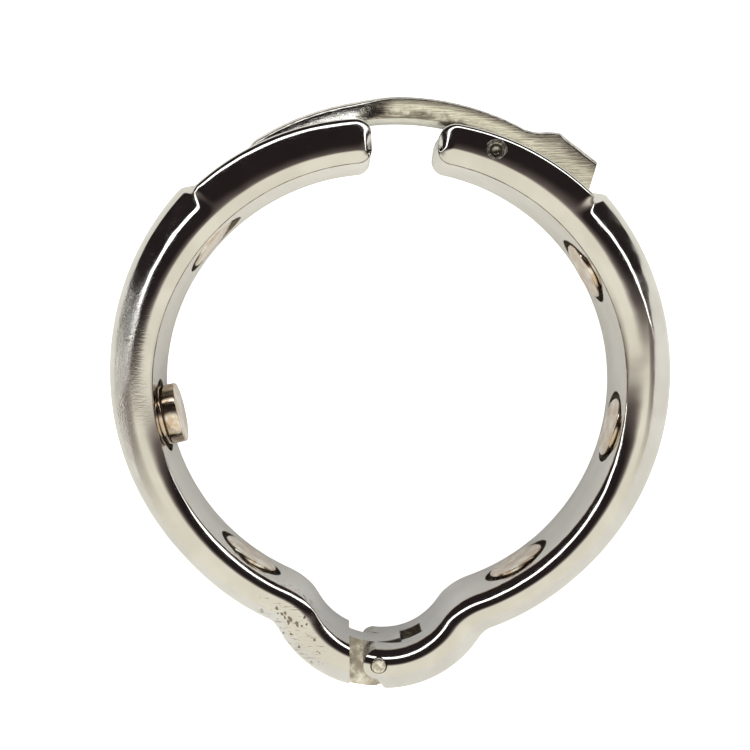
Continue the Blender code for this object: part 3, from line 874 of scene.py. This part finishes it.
class Nodes:
    """Short calls for building one material's or the world's nodes; lengths are in millimetres."""

    def __init__(self, tree):
        self.tree = tree

    def add(self, kind, **settings):
        node = self.tree.nodes.new(kind)
        for key, value in settings.items():
            setattr(node, key, value)
        return node

    def plug(self, socket, value):
        if isinstance(value, bpy.types.NodeSocket):
            self.tree.links.new(value, socket)
        else:
            socket.default_value = value

    def math(self, operation, *values, clamp=False):
        node = self.add("ShaderNodeMath", operation=operation, use_clamp=clamp)
        for socket, value in zip(node.inputs, values):
            self.plug(socket, value)
        return node.outputs[0]

    def ramp(self, value, low, high, start=0.0, end=1.0, smooth=True):
        node = self.add("ShaderNodeMapRange", interpolation_type="SMOOTHSTEP" if smooth else "LINEAR")
        for name, given in (("Value", value), ("From Min", low), ("From Max", high)):
            self.plug(node.inputs[name], given)
        node.inputs["To Min"].default_value = start
        node.inputs["To Max"].default_value = end
        return node.outputs[0]

    def mix(self, share, first, second):
        node = self.add("ShaderNodeMix", data_type="RGBA")
        self.plug(node.inputs[0], share)
        self.plug(node.inputs[6], first)
        self.plug(node.inputs[7], second)
        return node.outputs[2]

    def millimetres(self, origin=(0, 0, 0)):
        """Object coordinates in millimetres from a point in metres."""
        place = self.add("ShaderNodeTexCoord").outputs["Object"]
        shift = self.add("ShaderNodeVectorMath", operation="SUBTRACT")
        self.plug(shift.inputs[0], place)
        shift.inputs[1].default_value = origin
        scale = self.add("ShaderNodeVectorMath", operation="SCALE")
        self.plug(scale.inputs[0], shift.outputs[0])
        scale.inputs["Scale"].default_value = 1 / MM
        return scale.outputs[0]

    def split(self, vector):
        node = self.add("ShaderNodeSeparateXYZ")
        self.plug(node.inputs[0], vector)
        return node.outputs[0], node.outputs[1], node.outputs[2]

    def join(self, x, y, z):
        node = self.add("ShaderNodeCombineXYZ")
        for socket, value in zip(node.inputs, (x, y, z)):
            self.plug(socket, value)
        return node.outputs[0]

    def stretch(self, vector, amounts, turn=0.0):
        node = self.add("ShaderNodeMapping")
        self.plug(node.inputs["Vector"], vector)
        node.inputs["Scale"].default_value = amounts
        node.inputs["Rotation"].default_value = (0, 0, math.radians(turn))
        return node.outputs[0]

    def noise(self, vector, scale, detail=3.0, roughness=0.5):
        node = self.add("ShaderNodeTexNoise")
        self.plug(node.inputs["Vector"], vector)
        node.inputs["Scale"].default_value = scale
        node.inputs["Detail"].default_value = detail
        node.inputs["Roughness"].default_value = roughness
        return node.outputs[0]

    def bump(self, height, depth, strength=1.0, normal=None):
        node = self.add("ShaderNodeBump")
        self.plug(node.inputs["Height"], height)
        node.inputs["Distance"].default_value = depth * MM
        self.plug(node.inputs["Strength"], strength)
        if normal is not None:
            self.plug(node.inputs["Normal"], normal)
        return node.outputs[0]


def metal(name):
    """A new metallic material: its nodes helper and its shader."""
    material = bpy.data.materials.new(name)
    material.use_nodes = True
    shader = material.node_tree.nodes["Principled BSDF"]
    shader.inputs["Metallic"].default_value = 1.0
    return material, Nodes(material.node_tree), shader


def around_ring(nodes):
    """Coordinates that follow the ring, and x, y, z and radius from the left bow's centre, in millimetres."""
    x, y, z = nodes.split(nodes.millimetres(tuple(TO_WORLD @ LEFT_CENTRE.to_3d())))
    radius = nodes.math("SQRT", nodes.math("ADD", nodes.math("MULTIPLY", x, x), nodes.math("MULTIPLY", y, y)))
    length = nodes.math("MULTIPLY", nodes.math("ARCTAN2", y, x), OUTER_RADIUS)
    return nodes.join(length, radius, z), x, y, z, radius


def window(nodes, x, y, centre, size, soft=0.6):
    """1 inside an ellipse given in millimetres from the bow centre, falling to 0 round it."""
    across = nodes.math("DIVIDE", nodes.math("SUBTRACT", x, centre[0]), size[0])
    upward = nodes.math("DIVIDE", nodes.math("SUBTRACT", y, centre[1]), size[1])
    square = nodes.math("ADD", nodes.math("MULTIPLY", across, across), nodes.math("MULTIPLY", upward, upward))
    return nodes.ramp(square, 1.0 + soft, 1.0 - soft)


def polished_nickel():
    """Bright nickel plate: faint waviness, fine lines along the ring, a hatched patch and casting pits."""
    material, nodes, shader = metal("polished_nickel")
    along, x, y, z = around_ring(nodes)[:4]
    place = nodes.millimetres()
    cloud = nodes.noise(place, 0.35, 2)
    tint = nodes.ramp(cloud, 0.35, 0.7)
    colour = nodes.mix(tint, *NICKEL_TONES)
    lines = nodes.noise(nodes.stretch(along, (0.6, 9.0, 9.0)), 1.6, 3)
    grain = nodes.noise(place, 9.0, 2)
    hatch_area = window(nodes, x, y, HATCH_PLACE, HATCH_SIZE)
    hatch = nodes.noise(nodes.stretch(place, (1.2, 9.0, 9.0), 38), 1.0, 2)
    pit_area = window(nodes, x, y, PIT_PLACE, PIT_SIZE)
    pit_area = nodes.math("MULTIPLY", pit_area, nodes.ramp(z, *PIT_HEIGHTS))
    cells = nodes.add("ShaderNodeTexVoronoi")
    nodes.plug(cells.inputs["Vector"], nodes.stretch(place, (3.2, 2.0, 2.0), 35))
    cells.inputs["Scale"].default_value = 1.0
    chance = nodes.noise(place, 1.3, 1)
    limit = nodes.ramp(chance, 0.38, 0.66, 0.05, 0.4)
    pits = nodes.math("LESS_THAN", cells.outputs["Distance"], limit)
    pits = nodes.math("MULTIPLY", pits, pit_area)
    scars = nodes.noise(nodes.stretch(place, (0.9, 6.0, 1.0), -38), 1.4, 3)
    scars = nodes.math("MULTIPLY", nodes.ramp(scars, 0.55, 0.72), pit_area)
    rough = nodes.ramp(nodes.noise(place, 0.8, 3), 0.3, 0.75, 0.045, 0.11)
    rough = nodes.math("ADD", rough, nodes.math("MULTIPLY", hatch_area, 0.08))
    rough = nodes.math("ADD", rough, nodes.math("MULTIPLY", pits, 0.3))
    nodes.plug(shader.inputs["Roughness"], rough)
    worn = nodes.math("MAXIMUM", pits, nodes.math("MULTIPLY", scars, 0.7))
    nodes.plug(shader.inputs["Base Color"], nodes.mix(worn, colour, SCAR_TONE))
    normal = nodes.bump(nodes.noise(place, 0.5, 1), 0.02)
    normal = nodes.bump(lines, 0.0006, 0.7, normal)
    normal = nodes.bump(grain, 0.0004, 0.5, normal)
    normal = nodes.bump(hatch, 0.012, nodes.math("MULTIPLY", hatch_area, 0.8), normal)
    normal = nodes.bump(worn, 0.03, nodes.math("MULTIPLY", pit_area, -0.9), normal)
    nodes.plug(shader.inputs["Normal"], normal)
    return material


def crease_shade_nickel():
    """A fine painted dark line of shade along the crease between the inner wall and the face, mottled by
    noise.
    """
    material, nodes, shader = metal("crease_shade_nickel")
    place = nodes.millimetres()
    shade_mottle = nodes.noise(place, 1.4, 3)
    colour = nodes.mix(nodes.ramp(shade_mottle, 0.38, 0.64), *CREASE_SHADE_TONES)
    nodes.plug(shader.inputs["Base Color"], colour)
    nodes.plug(shader.inputs["Roughness"], nodes.ramp(shade_mottle, 0.3, 0.7, 0.4, 0.25))
    nodes.plug(shader.inputs["Normal"], nodes.bump(shade_mottle, 0.004, 0.6))
    return material


def cut_nickel():
    """Plated surfaces inside pockets, slots and channels: duller, and mottled from dark to light."""
    material, nodes, shader = metal("cut_nickel")
    place = nodes.millimetres()
    stain = nodes.noise(place, 1.1, 4, 0.6)
    colour = nodes.mix(nodes.ramp(stain, 0.35, 0.7), *CUT_TONES)
    nodes.plug(shader.inputs["Base Color"], colour)
    nodes.plug(shader.inputs["Roughness"], nodes.ramp(stain, 0.3, 0.7, 0.38, 0.2))
    nodes.plug(shader.inputs["Normal"], nodes.bump(nodes.noise(place, 5.0, 3), 0.012, 0.8))
    return material


def brushed_steel():
    """The stamped latch: brushed sides, painted darker low down where the lever sits in the channel, and a
    smooth worn half towards its tip.
    """
    material, nodes, shader = metal("brushed_steel")
    x, y, z, radius = around_ring(nodes)[1:]
    place = nodes.millimetres()
    jag = nodes.noise(nodes.stretch(place, (1.0, 4.0, 1.0), -12), 1.2, 3)
    edge = nodes.math("ADD", nodes.math("ADD", x, nodes.math("MULTIPLY", y, -0.5)), 9.4)
    edge = nodes.math("ADD", edge, nodes.math("MULTIPLY", jag, 2.4))
    brushed = nodes.ramp(edge, 0.6, 1.0)
    streak = nodes.noise(nodes.stretch(place, (0.55, 9.0, 3.0), -11), 1.5, 4, 0.62)
    fine = nodes.noise(nodes.stretch(place, (1.1, 26.0, 6.0), -11), 1.6, 2)
    side = nodes.ramp(nodes.math("ABSOLUTE", z), 1.2, 1.45)
    # Painted shade: on the brushed part the sides darken towards the underside, where the lever sits in the
    # channel, broken up by noise and the brushing streaks.
    low = nodes.math("ADD", radius, nodes.math("MULTIPLY", nodes.noise(place, 1.1, 3), -1.6))
    channel_shade = nodes.math("MULTIPLY", nodes.ramp(low, 16.7, 16.2), side)
    channel_shade = nodes.math("MULTIPLY", channel_shade, nodes.ramp(streak, 0.3, 0.55))
    light = nodes.mix(nodes.ramp(streak, 0.35, 0.68), *BRUSHED_TONES)
    colour = nodes.mix(brushed, WORN_TONE, light)
    colour = nodes.mix(nodes.math("MULTIPLY", channel_shade, brushed), colour, CHANNEL_SHADE_TONE)
    nodes.plug(shader.inputs["Base Color"], colour)
    rough = nodes.ramp(brushed, 0.0, 1.0, 0.14, 0.22, smooth=False)
    nodes.plug(shader.inputs["Roughness"], rough)
    normal = nodes.bump(streak, 0.012, nodes.math("MULTIPLY", brushed, 0.8))
    normal = nodes.bump(fine, 0.004, 0.8, normal)
    nodes.plug(shader.inputs["Normal"], normal)
    return material


def rolled_steel():
    """The latch's rolled outer edge: burnished, with fine lines along it."""
    material, nodes, shader = metal("rolled_steel")
    along = around_ring(nodes)[0]
    lines = nodes.noise(nodes.stretch(along, (0.8, 8.0, 8.0)), 1.8, 3)
    colour = nodes.mix(nodes.ramp(lines, 0.35, 0.68), *ROLLED_TONES)
    nodes.plug(shader.inputs["Base Color"], colour)
    nodes.plug(shader.inputs["Roughness"], nodes.ramp(lines, 0.3, 0.7, 0.09, 0.2))
    nodes.plug(shader.inputs["Normal"], nodes.bump(lines, 0.004, 0.8))
    return material


def rivet_steel(name, dark, light):
    """Peened pin ends: hammered, stained steel between a dark and a light value. The latch pin's very dark
    values paint shade into its hollow head.
    """
    material, nodes, shader = metal(name)
    place = nodes.millimetres()
    marks = nodes.noise(place, 3.2, 4, 0.6)
    dark_tone = (*(dark * share for share in RIVET_TINT), 1)
    light_tone = (*(light * share for share in RIVET_LIGHT_TINT), 1)
    colour = nodes.mix(nodes.ramp(marks, 0.38, 0.62), dark_tone, light_tone)
    nodes.plug(shader.inputs["Base Color"], colour)
    nodes.plug(shader.inputs["Roughness"], nodes.ramp(marks, 0.3, 0.7, 0.34, 0.18))
    nodes.plug(shader.inputs["Normal"], nodes.bump(marks, 0.05, 0.7))
    return material


def magnet_nickel():
    """Nickel-plated discs with faint rub marks and warm stains."""
    material, nodes, shader = metal("magnet_nickel")
    place = nodes.millimetres()
    stain = nodes.noise(place, 0.9, 4, 0.6)
    rubs = nodes.noise(nodes.stretch(place, (1.0, 1.0, 9.0)), 1.8, 3)
    colour = nodes.mix(nodes.ramp(stain, 0.4, 0.68), *MAGNET_TONES)
    nodes.plug(shader.inputs["Base Color"], colour)
    nodes.plug(shader.inputs["Roughness"], nodes.ramp(rubs, 0.3, 0.7, 0.1, 0.22))
    nodes.plug(shader.inputs["Normal"], nodes.bump(rubs, 0.004, 0.6))
    return material


def spring_steel():
    """Drawn wire with lines along it."""
    material, nodes, shader = metal("spring_steel")
    drawn = nodes.noise(nodes.millimetres(), 6.0, 3)
    colour = nodes.mix(nodes.ramp(drawn, 0.35, 0.65), *SPRING_TONES)
    nodes.plug(shader.inputs["Base Color"], colour)
    nodes.plug(shader.inputs["Roughness"], nodes.ramp(drawn, 0.3, 0.7, 0.35, 0.2))
    nodes.plug(shader.inputs["Normal"], nodes.bump(drawn, 0.004))
    return material


# --- studio ---


def make_world():
    """Sky for reflections, with a plain pale backdrop where the camera looks past the floor."""
    world = bpy.data.worlds.new("studio")
    bpy.context.scene.world = world
    world.use_nodes = True
    tree = world.node_tree
    tree.nodes.clear()
    nodes = Nodes(tree)
    ray = nodes.add("ShaderNodeTexCoord").outputs["Generated"]
    turn = nodes.add("ShaderNodeVectorRotate", rotation_type="Z_AXIS")
    nodes.plug(turn.inputs["Vector"], ray)
    turn.inputs["Angle"].default_value = math.radians(-SKY_TURN)
    y, z = nodes.split(turn.outputs[0])[1:]
    haze = nodes.math("MULTIPLY", nodes.ramp(z, *reversed(HORIZON_EDGE)), nodes.ramp(y, *HORIZON_SIDE))
    dark = nodes.math("MAXIMUM", nodes.ramp(y, *DARK_EDGE), haze)
    tilt = nodes.math("ARCTAN2", y, z)
    off = nodes.math("ABSOLUTE", nodes.math("SUBTRACT", tilt, math.radians(STRIP_ANGLE)))
    half = math.radians(STRIP_HALF_WIDTH)
    strip = nodes.ramp(off, half * 1.15, half * 0.85)
    depth = nodes.mix(nodes.ramp(y, *DUSK_SPAN), (*DUSK_COLOUR, 1), (*DARK_COLOUR, 1))
    colour = nodes.mix(dark, (*SKY_COLOUR, 1), depth)
    colour = nodes.mix(strip, colour, (*STRIP_COLOUR, 1))
    seen = nodes.add("ShaderNodeLightPath").outputs["Is Camera Ray"]
    colour = nodes.mix(seen, colour, (*BACKDROP_COLOUR, 1))
    background = nodes.add("ShaderNodeBackground")
    nodes.plug(background.inputs["Color"], colour)
    output = nodes.add("ShaderNodeOutputWorld")
    tree.links.new(background.outputs[0], output.inputs["Surface"])


def make_floor():
    """A plain pale floor under the ring."""
    half = FLOOR_HALF_SIZE
    work = bmesh.new()
    corners = [(-half, -half, 0), (half, -half, 0), (half, half, 0), (-half, half, 0)]
    work.faces.new([work.verts.new(corner) for corner in corners])
    mesh = bpy.data.meshes.new("floor")
    work.to_mesh(mesh)
    work.free()
    material = bpy.data.materials.new("floor_paint")
    material.use_nodes = True
    nodes = Nodes(material.node_tree)
    shader = material.node_tree.nodes["Principled BSDF"]
    shader.inputs["Base Color"].default_value = (*FLOOR_COLOUR, 1)
    shader.inputs["Emission Color"].default_value = (1, 1, 1, 1)
    seen = nodes.add("ShaderNodeLightPath").outputs["Is Camera Ray"]
    nodes.plug(shader.inputs["Emission Strength"], nodes.math("MULTIPLY", seen, FLOOR_GLARE))
    shader.inputs["Roughness"].default_value = 1.0
    shader.inputs["Specular IOR Level"].default_value = 0.0
    mesh.materials.append(material)
    new_object("floor", mesh)


def make_sun():
    """Soft light from above for the floor; the metal mirrors the sky instead."""
    light = bpy.data.lights.new("overhead", "SUN")
    light.energy = SUN_STRENGTH
    light.angle = math.radians(SUN_SOFTNESS)
    lamp = bpy.data.objects.new("overhead", light)
    lamp.visible_glossy = False
    bpy.context.scene.collection.objects.link(lamp)


def make_camera():
    """The photograph's view: nearly straight down the ring's axis, with +Y up in the picture."""
    data = bpy.data.cameras.new("camera")
    data.sensor_width = LENS_SENSOR
    data.lens = LENS_LENGTH
    data.clip_start = 0.005
    data.clip_end = 10
    camera = bpy.data.objects.new("camera", data)
    bpy.context.scene.collection.objects.link(camera)
    lean_x, lean_y = (math.tan(math.radians(angle)) for angle in CAMERA_LEAN)
    back = Vector((lean_x, lean_y, 1)).normalized()
    right = Vector((0, 1, 0)).cross(back).normalized()
    turn = Matrix((right, back.cross(right), back)).transposed().to_4x4()
    camera.matrix_world = Matrix.Translation(CAMERA_TARGET + back * CAMERA_DISTANCE) @ turn
    bpy.context.scene.camera = camera


def main():
    scene = bpy.context.scene
    scene.view_settings.view_transform = "Standard"
    make_camera()
    make_world()
    make_floor()
    make_sun()
    plate, inside, crease = polished_nickel(), cut_nickel(), crease_shade_nickel()
    make_left_bow((plate, inside, crease))
    make_right_bow((plate, inside, crease))
    make_lever((brushed_steel(), inside, rolled_steel()))
    hinge_steel = rivet_steel("hinge_rivet", *HINGE_RIVET_VALUES)
    # The latch pin's steel is painted dark, for the shade in its hollow head.
    shaded_latch_steel = rivet_steel("latch_rivet_shaded", *LATCH_RIVET_SHADE_VALUES)
    make_pins(hinge_steel, shaded_latch_steel)
    make_spring(spring_steel())
    make_magnets(magnet_nickel())


main()

bpy.context.view_layer.update()
